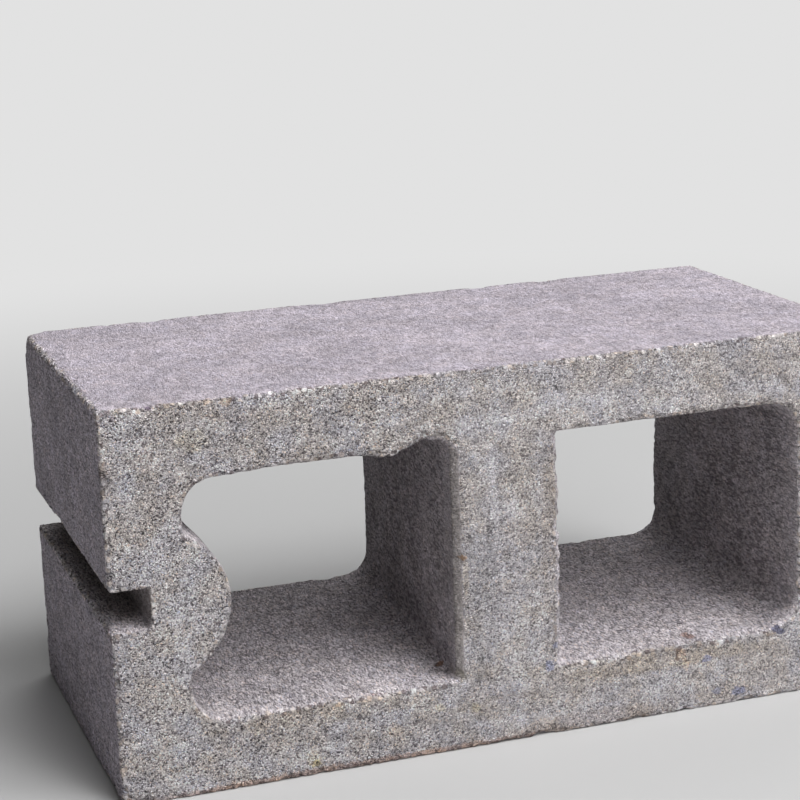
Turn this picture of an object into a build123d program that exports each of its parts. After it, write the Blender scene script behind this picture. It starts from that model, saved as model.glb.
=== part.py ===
import os
from math import sqrt

from build123d import *

# Sash block, moulded in one piece and lying on a face shell. Millimetres.
# X runs along the block, Y through its cores and Z up through the wall's thickness.
# The thick side of every wall faces -Y and the thin side +Y. The sash groove is in the -X end.

# Outside
block_length = 390.0
block_height = 190.0
block_width = 190.0
mould_corner_radius = 2.5
bed_edge_chamfer = 1.0

# Walls between the cores and the outside, at the thick side and at the thin side
face_shell_thick = 36.0
face_shell_thin = 32.0
end_wall_thick = 37.0
end_wall_thin = 26.0
web_thick = 55.0
web_thin = 22.0

# Mouths of the cores, eased over their last few millimetres at the thick side
mouth_depth = 3.5
mouth_ease_at_web = 3.5
mouth_ease_elsewhere = 1.0

# Corners of the cores beside the web
web_corner_radius_thick = 2.5
web_corner_radius_thin = 14.0

# Sash groove in the end, and the bulge that keeps a wall of concrete around it inside the core
groove_width = 20.0
groove_depth = 19.0
groove_root_radius = 1.5
groove_lip_chamfer = 1.0
bulge_wall_thick = 39.0
bulge_wall_thin = 33.0

# Corners of the cores beside the end walls, and the blends of the bulge: they share the height of the
# lobe that is left above and below the bulge, and these are their radii over that height
corner_share_thick = 0.66
corner_share_thin = 0.46
blend_share_thick = 0.29
blend_share_thin = 0.20

end_x = block_length / 2
thick_y = -block_height / 2
thin_y = block_height / 2
middle_z = block_width / 2
groove_root_x = -end_x + groove_depth


def lobe_height(face_shell, end_wall, bulge_wall):
    """How high a core reaches past the bulge, measured along the end wall."""
    bulge_half_height = sqrt(bulge_wall ** 2 - (end_wall - groove_depth) ** 2)
    return block_width / 2 - face_shell - bulge_half_height


def section_plane(y):
    """A sketch plane across the cores: its x is the block's X and its y is the block's Z."""
    return Plane(origin=(0, y, 0), x_dir=(1, 0, 0), z_dir=(0, -1, 0))


def moulded_block():
    """The outside of the block: what the mould box leaves, with its upright corners eased."""
    with BuildPart() as block:
        with BuildSketch(section_plane(thin_y)):
            with Locations((0, middle_z)):
                RectangleRounded(block_length, block_width, mould_corner_radius)
        extrude(amount=block_height)
        chamfer(block.faces().filter_by(Axis.Y).edges(), bed_edge_chamfer)
    return block.part


def core_section(side, y, end_wall, web, face_shell, end_radius, web_radius, bulge=None):
    """One core's outline at one depth. side is -1 for the grooved end and 1 for the plain end.
    bulge is the radius of the wall around the groove and the radius of its blends."""
    wall_x = side * (end_x - end_wall)
    web_x = side * web / 2
    with BuildSketch(section_plane(y)) as section:
        with Locations(((wall_x + web_x) / 2, middle_z)):
            Rectangle(abs(wall_x - web_x), block_width - 2 * face_shell)
        corners = section.vertices()
        if bulge:
            bulge_radius, blend_radius = bulge
            with Locations((groove_root_x, middle_z)):
                Circle(bulge_radius, mode=Mode.SUBTRACT)
            blends = [v for v in section.vertices() if abs(v.Z - middle_z) < bulge_radius]
            fillet(blends, blend_radius)
        for corner_x, radius in ((wall_x, end_radius), (web_x, web_radius)):
            wanted = [c for c in corners if abs(c.X - corner_x) < 0.001]
            fillet([nearest(section.vertices(), c) for c in wanted], radius)
    return section.sketch


def nearest(vertices, point):
    """The vertex of a sketch that lies where the given one does."""
    return min(vertices, key=lambda v: (v.center() - point.center()).length)


def core(side, bulged=False):
    """The hollow that a tapered core bar leaves, with its eased mouth at the thick side."""
    thick_lobe = lobe_height(face_shell_thick, end_wall_thick, bulge_wall_thick)
    thin_lobe = lobe_height(face_shell_thin, end_wall_thin, bulge_wall_thin)
    thick_blend = blend_share_thick * thick_lobe
    mouth_section = core_section(
        side, thick_y, end_wall_thick - mouth_ease_elsewhere, web_thick - 2 * mouth_ease_at_web,
        face_shell_thick - mouth_ease_elsewhere, corner_share_thick * thick_lobe, web_corner_radius_thick,
        (bulge_wall_thick - mouth_ease_elsewhere, thick_blend) if bulged else None,
    )
    thick_section = core_section(
        side, thick_y + mouth_depth, end_wall_thick, web_thick, face_shell_thick,
        corner_share_thick * thick_lobe, web_corner_radius_thick,
        (bulge_wall_thick, thick_blend) if bulged else None,
    )
    thin_section = core_section(
        side, thin_y, end_wall_thin, web_thin, face_shell_thin,
        corner_share_thin * thin_lobe, web_corner_radius_thin,
        (bulge_wall_thin, blend_share_thin * thin_lobe) if bulged else None,
    )
    sections = [mouth_section, thick_section, thin_section]
    return loft([section.face() for section in sections], ruled=True)


def sash_groove():
    """The groove for a window frame's edge, open at the end and through both bed faces."""
    with BuildPart() as groove:
        with BuildSketch(section_plane(thin_y)) as profile:
            with Locations((-end_x + groove_depth / 2, middle_z)):
                Rectangle(groove_depth, groove_width)
            fillet(profile.vertices().group_by(Axis.X)[-1], groove_root_radius)
        extrude(amount=block_height)
    return groove.part


def sash_block():
    """The finished block: two tapered cores and the groove, with its lips eased."""
    block = moulded_block()
    block -= core(-1, bulged=True)
    block -= core(1)
    block -= sash_groove()
    lips = [
        edge for edge in block.edges().filter_by(Axis.Y)
        if abs(edge.center().X + end_x) < 0.001
        and abs(abs(edge.center().Z - middle_z) - groove_width / 2) < 0.001
    ]
    return chamfer(lips, groove_lip_chamfer)


os.makedirs("parts", exist_ok=True)
block = sash_block()
export_step(block, "parts/block.step")
print("block volume", round(block.volume / 1e6, 3), "litres")
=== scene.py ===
import math

import bpy
import numpy as np
from mathutils import Matrix, Vector, noise


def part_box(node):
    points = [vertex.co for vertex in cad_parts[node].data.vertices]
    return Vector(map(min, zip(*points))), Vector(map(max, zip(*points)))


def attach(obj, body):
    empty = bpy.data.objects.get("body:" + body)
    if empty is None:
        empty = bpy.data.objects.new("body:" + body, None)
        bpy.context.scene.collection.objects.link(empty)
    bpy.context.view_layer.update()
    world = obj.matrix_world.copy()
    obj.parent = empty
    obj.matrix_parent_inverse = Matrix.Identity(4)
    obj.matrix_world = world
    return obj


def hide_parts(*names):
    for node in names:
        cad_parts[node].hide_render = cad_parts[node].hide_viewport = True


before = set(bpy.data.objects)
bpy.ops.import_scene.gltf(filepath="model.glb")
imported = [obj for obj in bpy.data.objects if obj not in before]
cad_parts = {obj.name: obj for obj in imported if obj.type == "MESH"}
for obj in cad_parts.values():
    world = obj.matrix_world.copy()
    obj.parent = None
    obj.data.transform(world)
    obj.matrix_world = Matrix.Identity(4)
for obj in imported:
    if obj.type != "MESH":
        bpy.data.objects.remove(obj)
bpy.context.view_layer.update()        # one CAD node, block, on the root body
print("frame loaded:", sorted(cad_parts))

# Metres, in the block's own frame: X along it, Y through its cores, Z up
mm = 0.001
low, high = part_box("block")
middleZ = high.z / 2

# The block's shape: the moulded solid with its rims worn and its faces given their relief.
# Where two numbers stand together, something begins at the first and is full at the second.
blockShape = {
    "merged": 0.01 * mm,            # points of the solid that lie this near each other are one
    "skin": 0.9 * mm,               # spacing of the even mesh that the rims are worn in
    "triangles": 192000,
    "slantTurned": 15,              # the edge between triangles is turned up to this slant, in degrees
    "fineKept": 0.6,                # how strongly the fine parts keep their triangles
    "weightSteps": 30,              # how many strengths a mask can have

    # The rims are rubbed round over the first length, and lumps break out of them over the second
    "easing": 2.6 * mm,
    "breaking": 11.0 * mm,
    "smoothing": 1.5,               # passes, times the square of that length over the spacing
    "easedDepth": 0.35 * mm,        # a rim is where easing takes off this much
    "rimBand": (0.04, 0.55),        # as shares of that depth
    "leastRim": 0.03 * mm,          # and where breaking takes off less than this there is none
    "wornBand": (0.3 * mm, 1.6 * mm),       # the finish shows wear where breaking takes off this much
    "rubbed": 0.45,                 # share of the easing that is taken off
    "rubbedUneven": (0.8, 6 * mm),
    "rubbedMost": 1.3,              # and the most that may be

    # Grains that fell out of the rims
    "grain": 2.3 * mm,
    "grainLoss": 1.0 * mm,
    "grainsLeft": 0.1,              # share of them that stayed in place
    "grainSlope": 3,                # how steep the sides of their hollows are
    "grainUneven": (0.25, 1.1 * mm),
    "brokenGrains": (0.1, 0.4),     # they show from this share of a lump's depth
    "brokenFrom": 0.3 * mm,
    "ownChance": 9.7,               # turns the middle of a grain into a chance of its own

    # Patches of broken rim: strength, size and where in the noise each layer starts
    "patchLayers": [(0.9, 17 * mm, (7, 3, 5)), (0.5, 5 * mm, (1, 8, 2))],
    "patchBand": (0.15, 0.75),
    "patchLoss": 0.55,              # how much of the rim is gone in the worst patches

    "lumpUneven": (0.35, 3 * mm),
    "lumpReach": 1.5,               # an uneven lump ends within this many times its reach
    "lumpEdge": (1.0, 0.5),

    # Lumps gone from the rims: place in millimetres, how far the loss reaches, and how deep it goes
    "rimLosses": [
        ((-195, -95, 59), 6, 0.55),
        ((-194, -95, 5), 10, 0.7),
        ((-183, -95, 1), 7, 0.5),
        ((17, -95, 2), 8, 0.6),
        ((-195, 92, 188), 12, 0.6),
        ((-158, -95, 155), 9, 0.5),
        ((-120, -95, 158), 8, 0.35),
        ((-172, -95, 190), 6, 0.5),
        ((120, -95, 158), 10, 0.4),
        ((27, -92, 147), 3, 0.4),
        ((27, -92, 136), 5, 0.8),
        ((27, -92, 127), 3, 0.5),
        ((27, -92, 118), 4, 0.7),
        ((27, -92, 108), 6, 1.2),
        ((27, -92, 97), 4, 0.8),
        ((27, -92, 88), 3, 0.5),
        ((27, -92, 76), 4, 0.6),
        ((27, -92, 58), 4, 0.5),
        ((27, -92, 48), 3, 0.4),
        ((190, -95, 120), 9, 0.5),
        ((-41, -95, 156), 9, 1.0),
        ((-34, -95, 157), 8, 1.0),
        ((-50, -95, 154), 6, 0.8),
        ((-66, -95, 155), 5, 0.5),
        ((-141, -95, 38), 8, 0.6),
        ((-72, -95, 35), 10, 0.45),
        ((-24, -95, 97), 5, 0.7),
        ((58, -95, 35), 9, 0.6),
        ((112, -95, 35), 8, 0.5),
        ((195, 95, 40), 10, 0.6),
        ((60, 95, 190), 9, 0.5),
        ((-40, 95, 2), 10, 0.5),
    ],

    # The first core's mouth sits a little low beside the end wall. Its upper rim hangs lower in one
    # place and arches up beside the web, whose other side keeps its width: place, reach and shift
    "rimShifts": [
        ((-142, -95, 132), (45, 30, 42), (0, 0, -2.2)),
        ((-60, -95, 155), (15, 14, 10), (0, 0, -1.9)),
        ((-37, -95, 155), (13, 30, 11), (0, 0, 3.6)),
        ((26, -94, 153), (5, 12, 5), (-1.2, 0, 0.8)),
        ((27, -91, 95), (6, 12, 75), (1.3, 0, 0)),
    ],
    "shiftUneven": [(0.5, 3.5 * mm), (0.3, 1.5 * mm)],

    # The eased edge up the web's left side is smooth: its limits, and how softly it ends
    "stripX": (-28.4 * mm, -23.8 * mm),
    "stripFade": (1 * mm, 0.6 * mm),
    "stripDepth": (4.0 * mm, 1 * mm),
    "stripShell": (36 * mm, 3 * mm),
    "stripAround": 3 * mm,          # the mesh is kept fine this far round it
    "stripGrains": 0.7,             # share of the rim's grains that it lacks
    "stripWear": 0.85,              # and of its wear

    # Kinds of face, by how far they turn to one side and how near they lie to the block's limits
    "bedBand": (2.0 * mm, 0),
    "bedFacing": (0.6, 0.92),
    "outerBand": (3.0 * mm, 0.5 * mm),
    "sideFacing": (0.4, 0.9),
    "endFacing": (0.5, 0.9),
    "fineWorn": 0.6,                # how fine the mesh is kept where it is worn, and on each kind of face
    "fineFaces": {"bedFace": 0.45, "coreWall": 0.15, "coreSide": 0.1, "outerFace": 0.15},

    # Broad relief, one layer each: name, size, depth, how much of it is cut in, and where
    "waves": [
        ("bedHollows", 8.0 * mm, 0.75 * mm, 0.65, "bedFace"),
        ("bedWaves", 36.0 * mm, 0.80 * mm, 0.70, "bedFace"),
        ("outerWaves", 40.0 * mm, 0.50 * mm, 0.65, "outerFace"),
        ("outerHollows", 9.0 * mm, 0.10 * mm, 0.60, "outerFace"),
        ("wallWaves", 24.0 * mm, 0.60 * mm, 0.60, "coreWall"),
        ("wallHollows", 7.0 * mm, 0.10 * mm, 0.60, "coreWall"),
    ],

    # Grains standing out of each kind of face: their size, and how unevenly they stand
    "standing": {
        "bedFace": (3.4 * mm, 0.42 * mm),
        "outerFace": (4.0 * mm, 0.08 * mm),
        "coreWall": (3.6 * mm, 0.12 * mm),
    },
    "standingOwn": 0.5,             # a grain stands by its own chance, less how deep it sits,
    "standingSunk": 0.3,            # and domes up from its edge as far as its flat top
    "standingDome": 0.5,
    "standingTop": 0.6,
    "standingFrom": 0.05,           # masks fainter than this raise none
    "drawn": 0.4,                   # grains of moulded faces are drawn out along Y by one over this
}


def selectOnly(piece):
    bpy.ops.object.select_all(action="DESELECT")
    piece.select_set(True)
    bpy.context.view_layer.objects.active = piece


def applyAll(piece):
    selectOnly(piece)
    for modifier in list(piece.modifiers):
        bpy.ops.object.modifier_apply(modifier=modifier.name)


def read(piece, what):
    flat = np.empty(len(piece.data.vertices) * 3)
    piece.data.vertices.foreach_get(what, flat)
    return flat.reshape(-1, 3)


def movePoints(piece, places):
    inside = np.clip(places, np.array(low), np.array(high))
    piece.data.vertices.foreach_set("co", inside.astype(np.float32).ravel())
    piece.data.update()


def smoothstep(begins, full, value):
    share = np.clip((value - begins) / (full - begins), 0, 1)
    return share * share * (3 - 2 * share)


def uneven(place, level, *layers):
    for strength, size in layers:
        level += strength * noise.noise(place / size)
    return level


def smoothed(piece, reach):
    copy = piece.copy()
    copy.data = piece.data.copy()
    bpy.context.scene.collection.objects.link(copy)
    ease = copy.modifiers.new("ease", "SMOOTH")
    ease.factor = 0.5
    ease.iterations = round(blockShape["smoothing"] * (reach / blockShape["skin"]) ** 2)
    applyAll(copy)
    places = read(copy, "co")
    bpy.data.meshes.remove(copy.data)
    return places


# The chance of the grain at a place, and how far in from the grain's edge the place lies
def grainAt(place, size):
    near, centres = noise.voronoi(place / size)
    return noise.cell(centres[0] * blockShape["ownChance"]), near[1] - near[0]


def moulded():
    piece = bpy.data.objects.new("concrete_block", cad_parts["block"].data.copy())
    bpy.context.scene.collection.objects.link(piece)
    piece.data.materials.clear()
    selectOnly(piece)
    bpy.ops.object.mode_set(mode="EDIT")
    bpy.ops.mesh.select_all(action="SELECT")
    bpy.ops.mesh.remove_doubles(threshold=blockShape["merged"])
    bpy.ops.object.mode_set(mode="OBJECT")
    remesh = piece.modifiers.new("skin", "REMESH")
    remesh.mode = "VOXEL"
    remesh.voxel_size = blockShape["skin"]
    applyAll(piece)
    print("even skin:", len(piece.data.vertices), "points")
    return piece


def webStrip(places, wider=0.0):
    left, right = blockShape["stripX"][0] - wider, blockShape["stripX"][1] + wider
    leftFade, rightFade = blockShape["stripFade"]
    depth, depthFade = blockShape["stripDepth"]
    shell, shellFade = blockShape["stripShell"]
    back = low.y + (depth + wider)
    strip = smoothstep(left - leftFade, left, places[:, 0])
    strip *= smoothstep(right, right - rightFade, places[:, 0])
    strip *= smoothstep(middleZ - shell, middleZ - shell - shellFade, np.abs(places[:, 2] - middleZ))
    return strip * smoothstep(back + depthFade, back, places[:, 1])


def patchLoss(place):
    loss = 0
    for strength, size, start in blockShape["patchLayers"]:
        loss += strength * noise.noise(place / size + Vector(start))
    return loss


def fallenGrain(place):
    chance, inset = grainAt(place, blockShape["grain"])
    hollow = (chance > blockShape["grainsLeft"]) * min(1, blockShape["grainSlope"] * inset)
    return uneven(place, hollow, blockShape["grainUneven"])


def addLumpLosses(loss, places):
    for place, reach, depth in blockShape["rimLosses"]:
        away = np.linalg.norm(places - np.array(place) * mm, axis=1) / (reach * mm)
        near = np.nonzero(away < blockShape["lumpReach"])[0]
        for index in near:
            away[index] = uneven(Vector(places[index]), away[index], blockShape["lumpUneven"])
        loss[near] = np.maximum(loss[near], depth * smoothstep(*blockShape["lumpEdge"], away[near]))


def shiftRims(worn, places):
    for place, reach, shift in blockShape["rimShifts"]:
        away = np.linalg.norm((places - np.array(place) * mm) / (np.array(reach) * mm), axis=1)
        share = np.clip(1 - away ** 2, 0, 1) ** 2
        for index in np.nonzero(share)[0]:
            share[index] *= uneven(Vector(places[index]), 1, *blockShape["shiftUneven"])
        worn += np.array(shift) * mm * share[:, None]


def wearRims(piece):
    sharp = read(piece, "co")
    outward = read(piece, "normal")
    eased = smoothed(piece, blockShape["easing"])
    broken = smoothed(piece, blockShape["breaking"])
    easing = np.einsum("ij,ij->i", sharp - eased, outward)
    breaking = np.einsum("ij,ij->i", sharp - broken, outward)
    rim = smoothstep(*blockShape["rimBand"], easing / blockShape["easedDepth"])
    wear, loss, grains = np.zeros((3, len(sharp)))
    for index in np.nonzero(breaking > blockShape["leastRim"])[0]:
        place = Vector(sharp[index])
        wear[index] = uneven(place, blockShape["rubbed"], blockShape["rubbedUneven"])
        loss[index] = patchLoss(place)
        grains[index] = fallenGrain(place)
    loss = smoothstep(*blockShape["patchBand"], loss) * blockShape["patchLoss"]
    addLumpLosses(loss, sharp)

    # Rubbed, then broken, then without its grains, then out of line
    strip = webStrip(sharp)
    wear = np.clip(wear, 0, blockShape["rubbedMost"]) * (easing > 0) * (1 - strip)
    worn = sharp + (eased - sharp) * wear[:, None]
    worn += (broken - sharp) * (loss * (breaking > 0))[:, None]
    inward = (broken - sharp) / np.maximum(np.linalg.norm(broken - sharp, axis=1), 1e-7)[:, None]
    brokenOpen = smoothstep(*blockShape["brokenGrains"], loss)
    rough = np.maximum(rim, brokenOpen * smoothstep(0, blockShape["brokenFrom"], breaking))
    rough *= 1 - blockShape["stripGrains"] * strip
    worn += inward * (grains * rough * blockShape["grainLoss"])[:, None]
    shiftRims(worn, sharp)
    movePoints(piece, worn)
    print("rims worn:", int((rim > 0.5).sum()), "points")
    wornShare = smoothstep(*blockShape["wornBand"], breaking) * (1 - blockShape["stripWear"] * strip)
    return sharp, outward, rough, wornShare


def sortFaces(piece, sharp, outward, rough, worn):
    turnedX, turnedY = np.abs(outward[:, 0]), np.abs(outward[:, 1])
    bed = smoothstep(*blockShape["bedBand"], high.y - np.abs(sharp[:, 1]))
    bed *= smoothstep(*blockShape["bedFacing"], turnedY)
    toOuter = np.minimum(high.x - np.abs(sharp[:, 0]), np.minimum(sharp[:, 2], high.z - sharp[:, 2]))
    outer = smoothstep(*blockShape["outerBand"], toOuter) * (1 - bed)
    wall = 1 - np.maximum(bed, outer)
    kinds = {"rim": rough, "worn": worn, "bedFace": bed, "outerFace": outer, "coreWall": wall}
    kinds["coreSide"] = wall * smoothstep(*blockShape["sideFacing"], turnedX)
    kinds["endFace"] = outer * smoothstep(*blockShape["endFacing"], turnedX)
    kinds["strip"] = webStrip(sharp)
    faces = sum(kinds[name] * share for name, share in blockShape["fineFaces"].items())
    aroundStrip = webStrip(sharp, blockShape["stripAround"])
    kinds["fine"] = np.maximum.reduce([rough, blockShape["fineWorn"] * worn, faces, aroundStrip])
    last = blockShape["weightSteps"]
    for name, weights in kinds.items():
        group = piece.vertex_groups.new(name=name)
        steps = np.round(weights * last).astype(int)
        for step in range(1, last + 1):
            group.add(np.nonzero(steps == step)[0].tolist(), step / last, "REPLACE")
    print("faces sorted:", ", ".join(kinds))


def cutWaves(piece):
    for name, size, depth, cutIn, where in blockShape["waves"]:
        texture = bpy.data.textures.new(name, "CLOUDS")
        texture.noise_scale = size
        texture.noise_depth = 1
        layer = piece.modifiers.new(name, "DISPLACE")
        layer.texture = texture
        layer.texture_coords = "LOCAL"
        layer.strength = depth
        layer.mid_level = cutIn
        layer.vertex_group = where
    applyAll(piece)
    movePoints(piece, read(piece, "co"))
    print("waves cut")


def thin(piece):
    thinner = piece.modifiers.new("thin", "DECIMATE")
    thinner.ratio = blockShape["triangles"] / (2 * len(piece.data.polygons))     # each face is a quad
    thinner.vertex_group = "fine"
    thinner.invert_vertex_group = True
    thinner.vertex_group_factor = blockShape["fineKept"]
    applyAll(piece)
    bpy.ops.object.mode_set(mode="EDIT")
    bpy.ops.mesh.select_all(action="SELECT")
    bpy.ops.mesh.quads_convert_to_tris()
    bpy.ops.mesh.beautify_fill(angle_limit=math.radians(blockShape["slantTurned"]))
    bpy.ops.object.mode_set(mode="OBJECT")
    bpy.ops.object.shade_smooth()
    print("thinned:", sum(len(face.vertices) - 2 for face in piece.data.polygons), "triangles")


# The vertex groups become attributes that the material reads
def keepMasks(piece):
    masks = {group.index: np.zeros(len(piece.data.vertices)) for group in piece.vertex_groups}
    for vertex in piece.data.vertices:
        for share in vertex.groups:
            masks[share.group][vertex.index] = share.weight
    named = {group.name: masks[group.index] for group in piece.vertex_groups}
    for name, shares in named.items():
        piece.data.attributes.new(name + "Mask", "FLOAT", "POINT").data.foreach_set("value", shares)
    piece.vertex_groups.clear()
    return named


def standGrains(piece, masks):
    own, sunk = blockShape["standingOwn"], blockShape["standingSunk"]
    dome, top = blockShape["standingDome"], blockShape["standingTop"]
    places = read(piece, "co")
    outward = read(piece, "normal")
    height = np.zeros(len(places))
    for name, (size, depth) in blockShape["standing"].items():
        share = masks[name] * (1 - masks["rim"])
        drawn = places if name == "bedFace" else places * np.array((1, blockShape["drawn"], 1))
        for index in np.nonzero(share > blockShape["standingFrom"])[0]:
            chance, inset = grainAt(Vector(drawn[index]), size)
            height[index] += share[index] * depth * (own * chance - sunk + dome * min(inset, top))
    movePoints(piece, places + outward * height[:, None])
    print("grains raised")


def makeBlock():
    piece = moulded()
    sortFaces(piece, *wearRims(piece))
    cutWaves(piece)
    thin(piece)
    standGrains(piece, keepMasks(piece))
    return piece


block = makeBlock()

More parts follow.
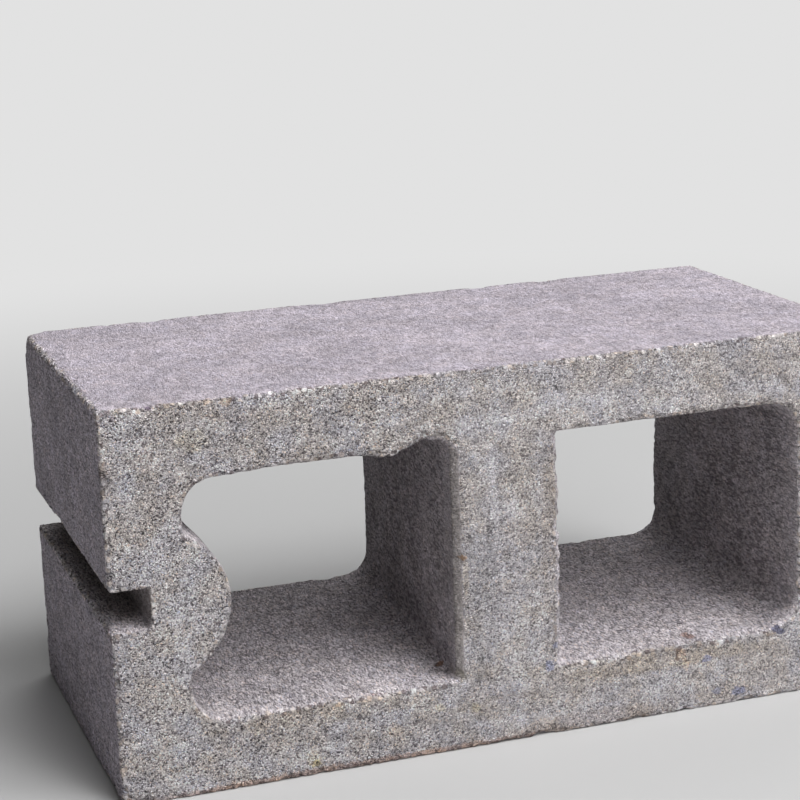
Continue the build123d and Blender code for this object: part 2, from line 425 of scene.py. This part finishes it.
# The finish: open grains on the bed faces and the rims, and a paler skin with pits where the mould
# rubbed. Lengths are in millimetres. Where two numbers stand together, something begins at the first
# and is full at the second, and two more are what it begins and ends with.
finish = {
    "bed": (0.690, 0.646, 0.656),
    "skin": (0.514, 0.464, 0.523),
    # The cores' skin, tinted warmer: partly painted bounce light
    "coreSkinAndBounce": (0.550, 0.506, 0.530),
    # The eased edge up the web: its darker colour is partly painted shade
    "strip": (0.370, 0.340, 0.334),
    # Pits, pores and the hollows between lumps are painted this dark: painted shade
    "pit": (0.050, 0.043, 0.045),
    "roughness": 0.93,

    # Open faces: no skin is left on the beds, nor on the rims as far as they have crumbled
    "openWorn": 0.45,
    "openRagged": 0.9,
    "openPatches": (9, 0.5),            # size and strength
    "openBand": (0.95, 1.25),
    "raggedSize": 2.6,

    # Grains: the mould slid along Y, and drew grains and pits out by one over this
    "draw": 0.32,
    "stirsPerMm": 0.8,
    "grainsPerMm": 1.5,
    "finesPerMm": 2.1,
    "coarseShare": 0.5,                 # how many of the grains are the larger ones
    # Painted shade between the grains: colour darkens from a grain's middle to its edge
    "grainGapShade": (0.60, 1.0, 1.0, 0.3),   # colour darkens from a grain's middle to its edge

    # How strongly the grains show where the face is closed, and what is added on some of its faces
    "closedGrains": 0.40,
    "wallGrains": 0.36,
    "endGrains": 0.25,
    "sideGrains": -0.25,
    # And where it is open: less on the smears, and less to the right of the first core
    "smearGrains": -0.10,
    "rightGrains": (-75, -20, 1.0, 0.82),

    # Shares of the grains, and how each is tinted
    "grainTones": [
        (0.00, (0.08, 0.07, 0.08)),
        (0.11, (0.34, 0.32, 0.33)),
        (0.26, (0.72, 0.71, 0.72)),
        (0.42, (1.05, 1.05, 1.05)),
        (0.66, (1.32, 1.20, 1.08)),
        (0.70, (0.86, 0.93, 1.06)),
        (0.74, (1.40, 1.40, 1.41)),
        (0.90, (1.62, 1.62, 1.60)),
    ],

    # Smears along the shells and up the webs
    "smearSize": 9,
    "smearDrawn": 0.25,
    "smearTurns": (48, 66),             # from the block's middle up or down
    "smearBand": (0.40, 0.62),
    "smearTints": ((0.93, 0.92, 0.905, 1), (1.07, 1.07, 1.08, 1)),

    # Lumps that show where the rims have crumbled
    "stonesPerMm": 0.38,
    "crumbSize": 7,
    "crumbRagged": 1.1,
    "crumbBand": (1.05, 1.35),
    "stoneShare": 0.7,
    "stoneBand": (0.62, 0.46),
    "stoneCover": 0.75,
    # The hollows between the lumps are painted dark as painted shade
    "betweenBand": (0.50, 0.80),        # the hollows between them
    "betweenShare": 0.55,
    "stoneTones": [
        (0.00, (0.26, 0.21, 0.21)),
        (0.18, (0.78, 0.69, 0.61)),
        (0.34, (1.22, 1.12, 0.99)),
        (0.50, (1.05, 1.05, 1.07)),
        (0.70, (1.40, 1.38, 1.36)),
        (0.88, (1.55, 1.55, 1.53)),
    ],

    # Pores between the grains, painted dark as painted shade inside them
    "poreRagged": (0.42, 0.32),
    "poreBand": (0.4, 0.7),
    "poreShare": 0.7,
    "holeShade": 0.75,

    # Small pits on every moulded face, and worm-eaten hollows up the sides of the cores, painted dark as
    # painted shade inside them
    "pitsPerMm": 1.5,
    "pitSizes": (0.40, 1.0, 0.0, 0.58),
    "pitBand": (-0.05, 0.08),
    "pitShare": 0.5,
    "wallPits": 0.4,
    "endPits": 0.4,
    "wormSize": 1.7,
    "wormDrawn": 0.3,
    "wormPatches": 26,
    "wormLevels": (0.30, 0.66, 0.38, 0.48),
    "wormBand": (-0.03, 0.06, 0.0, 0.7),
    "mouthBand": (-70, -93),            # the cores' walls are smoother near the thick bed face, and paler there as painted light
    "mouthPits": -0.6,
    "mouthPaintedLight": 0.04,

    # Patches of shade and of warmth: their size comes first
    "patchBroad": (40, 0.3, 0.7, 0.90, 1.10),
    "patchSmall": (8, 0.3, 0.7, 0.88, 1.12),
    "clumps": (2.8, 0.32, 0.68, -0.10, 0.10),
    "warmth": (15, 0.36, 0.64),
    "warmthTints": ((1.02, 1.0, 0.96, 1), (0.98, 1.0, 1.04, 1)),
    "warmthClosed": 0.3,
    "warmthOpen": 0.7,                  # added to that

    # Painted shade in the groove, thickest at its root: what it leaves of the colour, and its limits
    "grooveShade": (0.42, 0.40, 0.38),
    "grooveShadeShare": 0.9,
    "grooveShadeHeight": (11.4, 10.4),        # from the groove's middle
    "grooveShadeRoot": (-174.4, -175.6),
    "grooveShadeLip": (-194, -184),
    "grooveShadeBehind": (-86, -62),
    "grooveShadeAbove": (86, 91),

    # Fine relief, too small for the mesh
    "bump": 0.9 * mm,
    "grainRelief": (0.1, 0.9, 1, 0),
    "closedRelief": 0.4,
    "openRelief": 0.6,                  # added to that
    "stoneRelief": 0.7,
    "holeRelief": -0.9,

    # Stains and single lumps, and some painted light and shade: place and reach in millimetres, tint, and
    # how strongly it covers
    "tearsPerMm": 0.45,
    "torn": 5,
    "markBand": (1.15, 0.65),
    "marks": [
        # Lumps, tan spots, and hollows painted dark with painted shade, along the top rim
        ((-171, -95, 189), (3, 4, 2), (0.50, 0.42, 0.56), 0.9),
        ((-167, -95, 190), (2, 3, 1), (0.30, 0.26, 0.30), 0.8),
        ((-178, -95, 188), (5, 6, 3), (1.22, 1.20, 1.19), 0.8),
        ((-188, -95, 186), (2, 3, 2), (0.55, 0.50, 0.52), 0.7),
        ((-135, -95, 188), (3, 3, 2), (1.20, 1.03, 0.84), 0.9),
        ((-144, -95, 189), (3, 3, 2), (1.12, 0.99, 0.86), 0.8),
        ((-125, -95, 182), (26, 4, 4), (0.88, 0.85, 0.82), 0.7),
        # Pale, blue and olive patches of the end wall
        ((-152, -95, 172), (9, 3, 6), (1.03, 1.00, 0.86), 0.7),
        ((-174, -95, 167), (4, 3, 9), (1.15, 1.10, 1.09), 0.7),
        ((-182, -95, 156), (4, 3, 10), (1.06, 1.10, 1.16), 0.7),
        ((-194, -95, 162), (3, 4, 5), (0.55, 0.50, 0.46), 0.7),
        # Crumbs along the cores' rims
        ((-70, -94, 35), (6, 4, 2), (1.24, 1.18, 1.16), 0.8),
        ((-69, -94, 36), (2, 3, 1), (1.30, 0.95, 0.92), 0.9),
        ((-88, -95, 33), (3, 3, 2), (1.30, 1.22, 1.12), 0.7),
        ((45, -95, 34), (6, 3, 1), (1.45, 1.40, 1.30), 0.9),
        ((113, -95, 34), (2, 3, 3), (1.50, 1.46, 1.40), 0.9),
        ((93, -95, 31), (3, 3, 3), (1.30, 1.12, 0.98), 0.9),
        ((95, -95, 25), (2, 3, 4), (1.28, 1.12, 0.96), 0.8),
        ((90, -95, 31), (1, 3, 4), (0.50, 0.40, 0.34), 0.8),
        ((-22, -95, 88), (2, 3, 9), (1.25, 1.18, 1.02), 0.7),
        # The broken lip of the arch, and rust on the web's edge
        ((-38, -95, 160), (10, 3, 1), (1.35, 1.27, 1.18), 0.9),
        ((-23, -94, 98), (2, 3, 2), (0.85, 0.58, 0.36), 0.9),
        # Rust and damp in the first core's corner
        ((-27, -69, 36), (4, 3, 2), (0.55, 0.34, 0.22), 0.9),
        ((-25, -88, 38), (3, 9, 4), (0.72, 0.72, 0.62), 0.7),
        # Painted light on the groove's lip
        ((-186, -85, 84), (9, 10, 3), (1.22, 1.21, 1.21), 0.7),
        # Pits painted dark with painted shade, and a stain, on the second core's floor
        ((107, -64, 34), (2, 5, 2), (0.20, 0.18, 0.20), 0.9),
        ((101, -84, 35), (4, 6, 2), (0.62, 0.45, 0.38), 0.9),
        ((148, -93, 35), (4, 5, 2), (0.22, 0.24, 0.36), 0.9),
        # Blue flecks
        ((21, -95, 36), (3, 3, 3), (0.66, 0.76, 1.10), 0.8),
        ((24, -95, 46), (2, 3, 2), (0.66, 0.76, 1.08), 0.7),
        ((107, -95, 26), (3, 3, 2), (0.52, 0.60, 0.95), 0.8),
        ((112, -95, 8), (3, 3, 2), (0.62, 0.70, 0.98), 0.7),
        ((125, -95, 6), (5, 3, 2), (0.52, 0.60, 0.92), 0.8),
        # Lumps of the lower shell, and pits painted dark with painted shade
        ((-102, -95, 9), (4, 4, 4), (1.18, 1.12, 0.98), 0.8),
        ((-101, -95, 6), (3, 4, 2), (0.72, 0.66, 0.40), 0.8),
        ((-49, -95, 19), (2, 3, 1), (0.32, 0.30, 0.32), 0.8),
        ((-37, -95, 24), (3, 3, 3), (1.15, 1.08, 0.88), 0.7),
        ((-19, -95, 21), (3, 3, 3), (1.08, 1.05, 0.86), 0.7),
        ((-61, -95, 16), (5, 3, 4), (1.20, 1.12, 1.02), 0.7),
        ((81, -95, 22), (9, 3, 1), (1.25, 1.22, 1.20), 0.7),
        ((4, -95, 24), (18, 3, 2), (0.78, 0.76, 0.74), 0.7),
        # The web, darker up its sides and paler in its middle, and patches of its foot and the end wall
        ((-17, -95, 92), (8, 3, 70), (0.87, 0.87, 0.86), 0.8),
        ((22, -95, 98), (5, 3, 60), (0.82, 0.80, 0.77), 0.8),
        ((2, -95, 85), (11, 3, 48), (1.08, 1.08, 1.09), 0.7),
        ((-17, -95, 29), (9, 3, 5), (1.20, 1.19, 1.19), 0.7),
        ((-190, -95, 23), (6, 3, 10), (1.12, 1.11, 1.10), 0.7),
        ((-157, -95, 56), (5, 3, 8), (0.85, 0.84, 0.84), 0.7),
        # Brown bands under the cores, and along the bottom a brown stain with painted shade at the block's
        # foot
        ((85, -95, 29), (60, 4, 5), (0.92, 0.88, 0.80), 0.9),
        ((-95, -95, 30), (58, 4, 5), (0.92, 0.89, 0.83), 0.8),
        # Along the bottom: a brown stain with painted shade where the block meets the floor
        ((-80, -95, 1), (110, 6, 3), (0.84, 0.66, 0.56), 0.8),
        ((42, -95, 4), (46, 5, 6), (0.80, 0.76, 0.72), 0.8),
    ],
}

concrete = bpy.data.materials.new("flyAshConcrete")
concrete.use_nodes = True
concreteTree = concrete.node_tree


# A node of a material, with its inputs linked or set
def node(kind, inputs, tree=concreteTree, **settings):
    made = tree.nodes.new("ShaderNode" + kind)
    for name, value in settings.items():
        setattr(made, name, value)
    for name, value in inputs.items():
        if isinstance(value, bpy.types.NodeSocket):
            tree.links.new(value, made.inputs[name])
        else:
            made.inputs[name].default_value = value
    return made


def maths(operation, first, second, third=0.0):
    return node("Math", {0: first, 1: second, 2: third}, operation=operation).outputs[0]


def spread(value, begins, full, fromLevel=0.0, toLevel=1.0):
    limits = {"Value": value, "From Min": begins, "From Max": full, "To Min": fromLevel, "To Max": toLevel}
    return node("MapRange", limits, interpolation_type="SMOOTHSTEP").outputs["Result"]


def drawnOut(place, x, y, z):
    return node("Mapping", {"Vector": place, "Scale": (x, y, z)}).outputs["Vector"]


def moved(place, shift, strength=1):
    moves = {0: shift, 1: (strength,) * 3, 2: place}
    return node("VectorMath", moves, operation="MULTIPLY_ADD").outputs["Vector"]


def along(place, axis):
    return node("SeparateXYZ", {"Vector": place}).outputs[axis]


def fromMiddle(place):
    return maths("ABSOLUTE", maths("SUBTRACT", along(place, "Z"), middleZ / mm), 0)


def waves(place, size, detail=2.0):
    return node("TexNoise", {"Vector": place, "Scale": 1 / size, "Detail": detail}).outputs["Fac"]


def swirls(place, perMm, detail):
    return node("TexNoise", {"Vector": place, "Scale": perMm, "Detail": detail}).outputs["Color"]


def cells(place, perMm):
    return node("TexVoronoi", {"Vector": place, "Scale": perMm}).outputs


def patches(place, detail, size, *levels):
    return spread(waves(place, size, detail), *levels)


def pick(colour, channel):
    return node("SeparateColor", {"Color": colour}).outputs[channel]


def blend(share, first, second):
    return node("Mix", {0: share, 6: first, 7: second}, data_type="RGBA").outputs[2]


def mix(share, first, second):
    return node("Mix", {0: share, 2: first, 3: second}).outputs[0]


def scaled(colour, factor):
    return node("VectorMath", {0: colour, 3: factor}, operation="SCALE").outputs["Vector"]


def tinted(colour, tint):
    return node("VectorMath", {0: colour, 1: tint}, operation="MULTIPLY").outputs["Vector"]


def tones(value, steps):
    ramp = node("ValToRGB", {"Fac": value})
    ramp.color_ramp.interpolation = "CONSTANT"
    while len(ramp.color_ramp.elements) < len(steps):
        ramp.color_ramp.elements.new(1.0)
    for step, (start, tint) in zip(ramp.color_ramp.elements, steps):
        step.position = start
        step.color = (*tint, 1)
    return ramp.outputs["Color"]


def mask(name):
    return node("Attribute", {}, attribute_name=name).outputs["Fac"]


def openFaces(ragged, place):
    size, strength = finish["openPatches"]
    worn = maths("MULTIPLY_ADD", mask("wornMask"), finish["openWorn"], mask("bedFaceMask"))
    patchy = maths("MULTIPLY", waves(place, size), strength)
    patchy = maths("MULTIPLY_ADD", ragged, finish["openRagged"], patchy)
    return spread(maths("ADD", worn, patchy), *finish["openBand"])


def grains(drawn):
    larger = cells(drawn, finish["grainsPerMm"])
    smaller = cells(drawn, finish["finesPerMm"])
    coarse = maths("LESS_THAN", pick(larger["Color"], 1), finish["coarseShare"])
    tint = tones(pick(smaller["Color"], 0), finish["grainTones"])
    tint = blend(coarse, tint, tones(pick(larger["Color"], 0), finish["grainTones"]))
    return tint, mix(coarse, smaller["Distance"], larger["Distance"])


def smears(place):
    size, drawn = finish["smearSize"], finish["smearDrawn"]
    level = waves(drawnOut(place, drawn, 1, 1), size, 3)
    upright = waves(drawnOut(place, 1, 1, drawn), size, 3)
    return mix(spread(fromMiddle(place), *finish["smearTurns"]), upright, level)


def mouldPits(drawn, place):
    pit = cells(drawn, finish["pitsPerMm"])
    reach = spread(pick(pit["Color"], 1), *finish["pitSizes"])
    small = spread(maths("SUBTRACT", reach, pit["Distance"]), *finish["pitBand"])
    share = maths("MULTIPLY_ADD", mask("coreWallMask"), finish["wallPits"], finish["pitShare"])
    share = maths("MULTIPLY_ADD", mask("endFaceMask"), finish["endPits"], share)
    worms = waves(drawnOut(place, 1, finish["wormDrawn"], 1), finish["wormSize"], 3)
    patchy = spread(waves(place, finish["wormPatches"]), *finish["wormLevels"])
    hollows = spread(maths("SUBTRACT", patchy, worms), *finish["wormBand"])
    hollows = maths("MULTIPLY", hollows, mask("coreSideMask"))
    return maths("MAXIMUM", maths("MULTIPLY", small, share), hollows)


def grainStrength(openShare, wall, strip, smear, place):
    closed = maths("MULTIPLY_ADD", wall, finish["wallGrains"], finish["closedGrains"])
    closed = maths("MULTIPLY_ADD", mask("endFaceMask"), finish["endGrains"], closed)
    smooth = maths("MAXIMUM", mask("coreSideMask"), strip)
    closed = maths("MULTIPLY_ADD", smooth, finish["sideGrains"], closed)
    opened = spread(along(place, "X"), *finish["rightGrains"])
    return mix(openShare, closed, maths("MULTIPLY_ADD", smear, finish["smearGrains"], opened))


def patched(colour, openShare, mouth, stirred, place):
    shade = patches(place, 3, *finish["patchBroad"])
    shade = maths("MULTIPLY", shade, patches(place, 3, *finish["patchSmall"]))
    clumps = patches(stirred, 1, *finish["clumps"])
    shade = maths("MULTIPLY", shade, maths("MULTIPLY_ADD", clumps, openShare, 1.0))
    # painted light: the cores' walls are paler near their mouths
    shade = maths("MULTIPLY", shade, maths("MULTIPLY_ADD", mouth, finish["mouthPaintedLight"], 1.0))
    warmth = blend(patches(place, 2, *finish["warmth"]), *finish["warmthTints"])
    share = maths("MULTIPLY_ADD", openShare, finish["warmthOpen"], finish["warmthClosed"])
    return tinted(scaled(colour, shade), blend(share, (1, 1, 1, 1), warmth))


def marked(colour, torn):
    begins, full = finish["markBand"]
    for place, reach, tint, share in finish["marks"]:
        spot = {"Vector": torn, "Location": place, "Scale": reach}
        spot = node("Mapping", spot, vector_type="TEXTURE").outputs["Vector"]
        away = node("VectorMath", {0: spot}, operation="LENGTH").outputs["Value"]
        colour = blend(spread(away, begins, full, 0.0, share), colour, tinted(colour, tint))
    return colour


# Painted shade: darkens the inside of the groove towards its root
def paintGrooveShade(colour, torn):
    inside = maths("MULTIPLY", spread(fromMiddle(torn), *finish["grooveShadeHeight"]),
                   spread(along(torn, "X"), *finish["grooveShadeRoot"]))
    deep = maths("MAXIMUM", spread(along(torn, "Y"), *finish["grooveShadeBehind"]),
                 spread(along(torn, "Z"), *finish["grooveShadeAbove"]))
    share = maths("MULTIPLY", inside, spread(along(torn, "X"), *finish["grooveShadeLip"]))
    share = maths("MULTIPLY", maths("MULTIPLY", share, deep), finish["grooveShadeShare"])
    return blend(share, colour, tinted(colour, finish["grooveShade"]))


def concreteFinish():
    place = drawnOut(node("TexCoord", {}).outputs["Object"], 1 / mm, 1 / mm, 1 / mm)
    drawn = drawnOut(place, 1, finish["draw"], 1)
    stir = swirls(drawn, finish["stirsPerMm"], 1.0)
    stirred = moved(place, stir)
    drawn = moved(drawn, stir)
    ragged = waves(place, finish["raggedSize"], 3)
    wall = mask("coreWallMask")
    strip = mask("stripMask")
    openShare = maths("MULTIPLY", openFaces(ragged, place), maths("SUBTRACT", 1.0, strip))
    mouth = maths("MULTIPLY", spread(along(place, "Y"), *finish["mouthBand"]), wall)

    # Grains, strong where the face is open and faint in the skin
    tint, depth = grains(drawn)
    smear = spread(smears(place), *finish["smearBand"])
    strength = grainStrength(openShare, wall, strip, smear, place)
    tint = blend(strength, (1, 1, 1, 1), tint)
    # painted shade darkens each grain towards its edge
    tint = scaled(tint, mix(strength, 1.0, spread(depth, *finish["grainGapShade"])))
    # the cores' skin is warmed with painted bounce light
    skin = blend(wall, (*finish["skin"], 1), (*finish["coreSkinAndBounce"], 1))
    # the eased edge takes its darker colour, partly painted shade
    skin = blend(strip, skin, (*finish["strip"], 1))
    colour = tinted(blend(openShare, skin, (*finish["bed"], 1)), tint)

    # Lumps along the crumbled rims
    stone = cells(stirred, finish["stonesPerMm"])
    crumbled = waves(place, finish["crumbSize"])
    crumbled = maths("MULTIPLY_ADD", crumbled, finish["crumbRagged"], mask("wornMask"))
    crumbled = spread(crumbled, *finish["crumbBand"])
    chosen = maths("LESS_THAN", pick(stone["Color"], 1), finish["stoneShare"])
    near = spread(stone["Distance"], *finish["stoneBand"])
    lump = maths("MULTIPLY", maths("MULTIPLY", crumbled, chosen), near)
    # the hollows between the lumps are painted dark too, as painted shade
    between = maths("MULTIPLY", crumbled, spread(stone["Distance"], *finish["betweenBand"]))
    lumpColour = tinted(finish["bed"], tones(pick(stone["Color"], 0), finish["stoneTones"]))
    colour = blend(maths("MULTIPLY", lump, finish["stoneCover"]), colour, lumpColour)

    # Pores between the grains, and pits in the skin, painted dark as painted shade inside them
    pores = maths("MULTIPLY", spread(ragged, *finish["poreRagged"]), spread(depth, *finish["poreBand"]))
    pores = maths("MAXIMUM", maths("MULTIPLY", pores, finish["poreShare"]),
                  maths("MULTIPLY", between, finish["betweenShare"]))
    smoother = maths("MULTIPLY_ADD", maths("MAXIMUM", mouth, strip), finish["mouthPits"], 1.0)
    holes = mix(openShare, maths("MULTIPLY", mouldPits(drawn, place), smoother), pores)
    colour = blend(maths("MULTIPLY", holes, finish["holeShade"]), colour, (*finish["pit"], 1))

    # Smears, patches and stains, some marks of painted light and shade, and painted shade in the groove
    colour = tinted(colour, blend(openShare, (1, 1, 1, 1), blend(smear, *finish["smearTints"])))
    colour = patched(colour, openShare, mouth, stirred, place)
    torn = moved(place, swirls(place, finish["tearsPerMm"], 2.0), finish["torn"])
    torn = node("VectorMath", {0: torn, 1: (-finish["torn"] / 2,) * 3}).outputs["Vector"]
    # Painted shade in the groove goes on over the marks
    colour = paintGrooveShade(marked(colour, torn), stirred)
    colour = node("VectorMath", {0: colour, 1: (1, 1, 1)}, operation="MINIMUM").outputs["Vector"]

    # Fine relief
    height = spread(depth, *finish["grainRelief"])
    share = maths("MULTIPLY_ADD", openShare, finish["openRelief"], finish["closedRelief"])
    height = maths("MULTIPLY_ADD", lump, finish["stoneRelief"], maths("MULTIPLY", height, share))
    height = maths("MULTIPLY_ADD", holes, finish["holeRelief"], height)
    bump = node("Bump", {"Height": height, "Distance": finish["bump"], "Strength": 1.0})

    shader = concreteTree.nodes["Principled BSDF"]
    concreteTree.links.new(colour, shader.inputs["Base Color"])
    concreteTree.links.new(bump.outputs["Normal"], shader.inputs["Normal"])
    shader.inputs["Roughness"].default_value = finish["roughness"]


concreteFinish()
block.data.materials.append(concrete)
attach(block, "root")
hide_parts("block")
print("finish on")

# The studio: a pale floor that runs into a pale background, a large soft lamp overhead, a weaker one in
# front, and two more, from the left and from behind into the cores
studio = {
    "background": (0.76, 0.76, 0.76, 1),
    "floor": (0.52, 0.52, 0.52, 1),
    "floorSize": 12,
    "floorRoughness": 0.9,
    "floorFade": (0.30, 1.3),           # metres from the block over which the floor turns to background
    "skyLight": 0.030,
    "lamps": [
        ("overhead", (0.7, -1.1, 2.3), 1.5, 66),
        ("front", (0.3, -2.2, 1.7), 1.6, 33),
        ("left", (-1.3, -1.6, 1.9), 1.4, 3.5),
        ("behind", (0.8, 1.3, 1.7), 1.5, 13),
    ],
}


def addFloor():
    bpy.ops.object.select_all(action="DESELECT")
    bpy.ops.mesh.primitive_plane_add(size=studio["floorSize"])
    floor = bpy.context.object
    floor.name = "floor"
    material = bpy.data.materials.new("paleFloor")
    material.use_nodes = True
    tree = material.node_tree
    shader = tree.nodes["Principled BSDF"]
    shader.inputs["Base Color"].default_value = studio["floor"]
    shader.inputs["Roughness"].default_value = studio["floorRoughness"]
    place = node("TexCoord", {}, tree).outputs["Object"]
    away = node("VectorMath", {0: place}, tree, operation="LENGTH").outputs["Value"]
    near, far = studio["floorFade"]
    limits = {"Value": away, "From Min": near, "From Max": far}
    fade = node("MapRange", limits, tree, interpolation_type="SMOOTHSTEP").outputs["Result"]
    seen = node("LightPath", {}, tree).outputs["Is Camera Ray"]
    share = node("Math", {0: fade, 1: seen}, tree, operation="MULTIPLY").outputs[0]
    backdrop = node("Emission", {"Color": studio["background"]}, tree).outputs["Emission"]
    merged = node("MixShader", {"Fac": share, 1: shader.outputs["BSDF"], 2: backdrop}, tree)
    tree.links.new(merged.outputs["Shader"], tree.nodes["Material Output"].inputs["Surface"])
    floor.data.materials.append(material)


def addWorld():
    world = bpy.data.worlds.new("studio")
    bpy.context.scene.world = world
    world.use_nodes = True
    tree = world.node_tree
    light = tree.nodes["Background"]
    light.inputs["Color"].default_value = (1, 1, 1, 1)
    light.inputs["Strength"].default_value = studio["skyLight"]
    backdrop = node("Background", {"Color": studio["background"]}, tree).outputs["Background"]
    seen = node("LightPath", {}, tree).outputs["Is Camera Ray"]
    merged = node("MixShader", {"Fac": seen, 1: light.outputs["Background"], 2: backdrop}, tree)
    tree.links.new(merged.outputs["Shader"], tree.nodes["World Output"].inputs["Surface"])


def addLamps():
    for name, place, size, power in studio["lamps"]:
        bpy.ops.object.light_add(type="AREA", location=place)
        lamp = bpy.context.object
        lamp.name = name
        lamp.data.size = size
        lamp.data.energy = power
        aim = Vector((0, 0, middleZ)) - Vector(place)
        lamp.rotation_euler = aim.to_track_quat("-Z", "Y").to_euler()


addFloor()
addWorld()
addLamps()

# The camera stands at the left of the grooved end, a little above the block, and is tipped 2 degrees
cameraView = {
    "place": (-0.3632, -1.0035, 0.4166),
    "turn": -18.89,             # degrees about the upright, from looking along +Y
    "tilt": 76.12,              # degrees up from looking straight down
    "tip": -2.05,
    "lens": 95.78,
    "clipStart": 0.02,
}


def addCamera():
    bpy.ops.object.camera_add(location=cameraView["place"])
    camera = bpy.context.object
    camera.data.lens = cameraView["lens"]
    camera.data.clip_start = cameraView["clipStart"]
    aim = Matrix.Identity(3)
    for name, axis in (("turn", "Z"), ("tilt", "X"), ("tip", "Z")):
        aim = aim @ Matrix.Rotation(math.radians(cameraView[name]), 3, axis)
    camera.rotation_euler = aim.to_euler()
    bpy.context.scene.camera = camera


addCamera()
bpy.context.scene.view_settings.view_transform = "Standard"
print("studio set")
